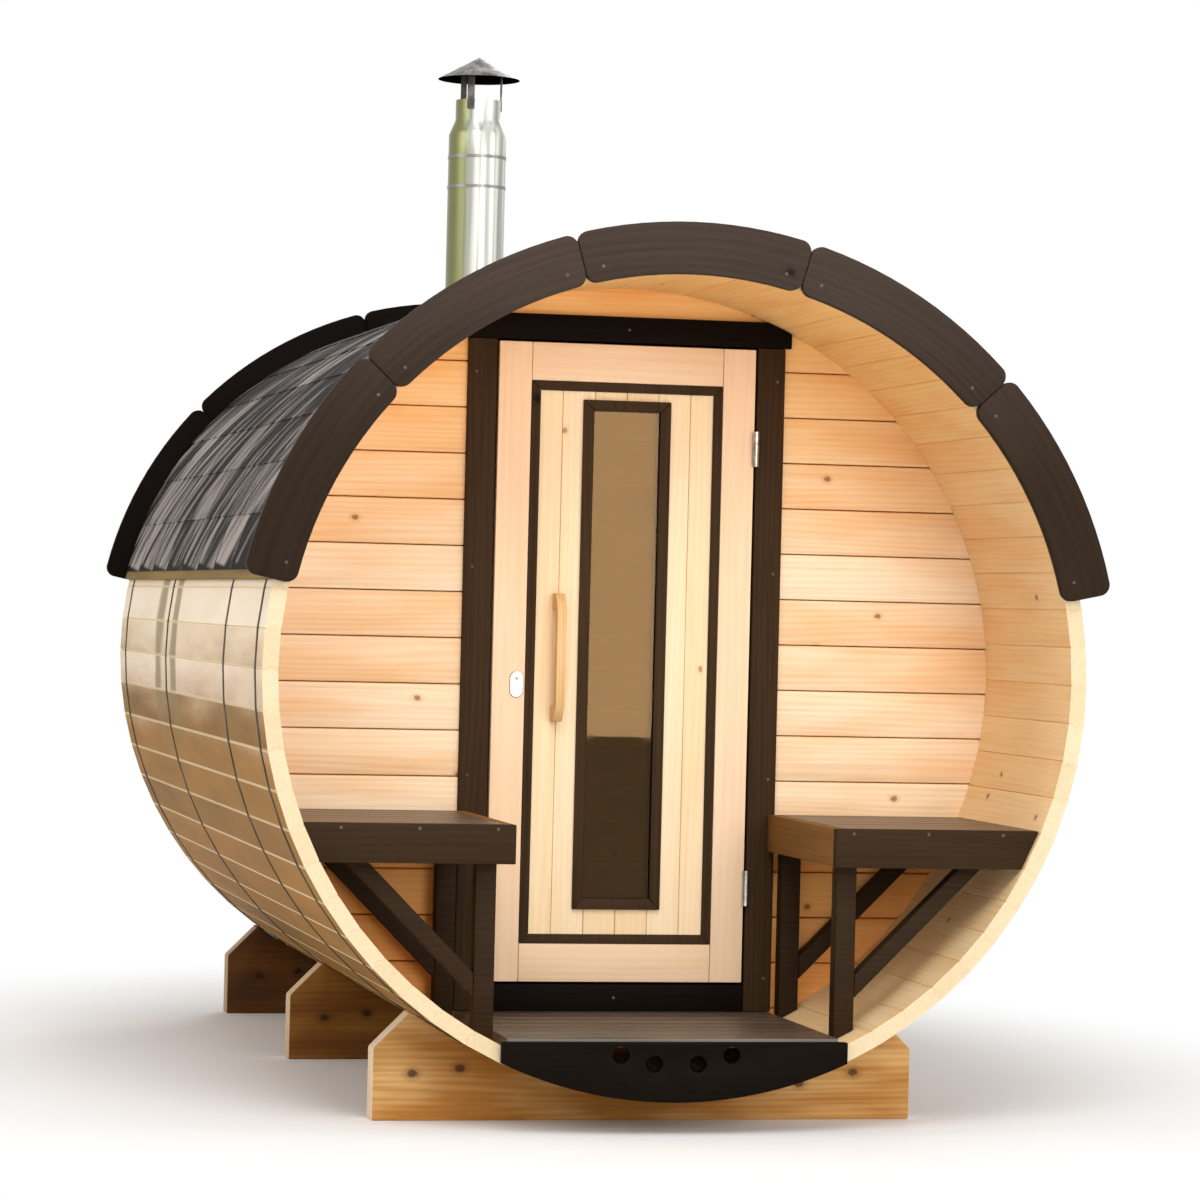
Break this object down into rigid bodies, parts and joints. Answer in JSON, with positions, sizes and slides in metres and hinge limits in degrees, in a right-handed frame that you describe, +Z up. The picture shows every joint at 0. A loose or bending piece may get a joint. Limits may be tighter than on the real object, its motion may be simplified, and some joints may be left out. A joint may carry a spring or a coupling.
{
  "type": "barrel sauna",
  "caption": "Lying barrel of wooden staves on cradles, with an open porch and benches, a hinged glazed door, a shingled roof and a steel chimney.",
  "frame": {"origin": "on the ground under the middle of the barrel", "axes": "+Z up, +Y back along the barrel so that the door faces -Y, +X to the right of someone facing the door"},
  "size_m": [2.09, 3.0526, 2.8696],
  "materials": {
    "stave_wood": "planed softwood",
    "hoop_steel": "black band",
    "cradle_wood": "oiled softwood",
    "wall_wood": "planed softwood",
    "frame_wood": "dark stained",
    "door_wood": "planed softwood",
    "strip_wood": "dark stained",
    "door_glass": "clear",
    "handle_wood": "oiled hardwood",
    "hinge_steel": "satin",
    "floor_wood": "planed softwood",
    "dark_wood": "dark stained",
    "batten_wood": "rough softwood",
    "roof_shingle": "mineral grit",
    "chimney_steel": "bright sheet"
  },
  "bodies": {
    "sauna": {"staves_top": "stave_wood", "staves_upper_right": "stave_wood", "staves_lower_right": "stave_wood", "staves_bottom": "stave_wood", "staves_lower_left": "stave_wood", "staves_upper_left": "stave_wood", "hoop_front": "hoop_steel", "hoop_wall": "hoop_steel", "hoop_middle": "hoop_steel", "hoop_rear": "hoop_steel", "cradle_front": "cradle_wood", "cradle_middle": "cradle_wood", "cradle_rear": "cradle_wood", "front_wall_left": "wall_wood", "front_wall_right": "wall_wood", "front_wall_over_door": "wall_wood", "front_wall_below_door": "wall_wood", "rear_wall": "wall_wood", "door_jamb_left": "frame_wood", "door_jamb_right": "frame_wood", "door_head": "frame_wood", "door_threshold": "frame_wood", "hinges_on_jamb": "hinge_steel", "porch_floor": "floor_wood", "cabin_floor": "floor_wood", "porch_fascia": "dark_wood", "bench_left_seat": "dark_wood", "bench_left_front_frame": "dark_wood", "bench_left_rear_frame": "dark_wood", "bench_right_seat": "dark_wood", "bench_right_front_frame": "dark_wood", "bench_right_rear_frame": "dark_wood", "front_trim": "dark_wood", "rear_trim": "dark_wood", "roof_battens": "batten_wood", "roof_sheathing": "roof_shingle", "chimney_pipe": "chimney_steel", "chimney_cap": "chimney_steel", "chimney_flashing": "chimney_steel"},
    "door": {"door_stiles_and_rails": "door_wood", "door_panel": "door_wood", "door_moulding": "strip_wood", "door_glazing_strips": "strip_wood", "door_glass": "door_glass", "door_handle": "handle_wood", "door_lock_rose": "hinge_steel", "hinges_on_leaf": "hinge_steel"}
  },
  "joints": [
    {"name": "door_hinge", "type": "hinge", "parent": "sauna", "child": "door", "pos_m": [0.3325, -0.8563, 1.078], "axis": [0, 0, 1], "range_deg": [0, 90]}
  ]
}
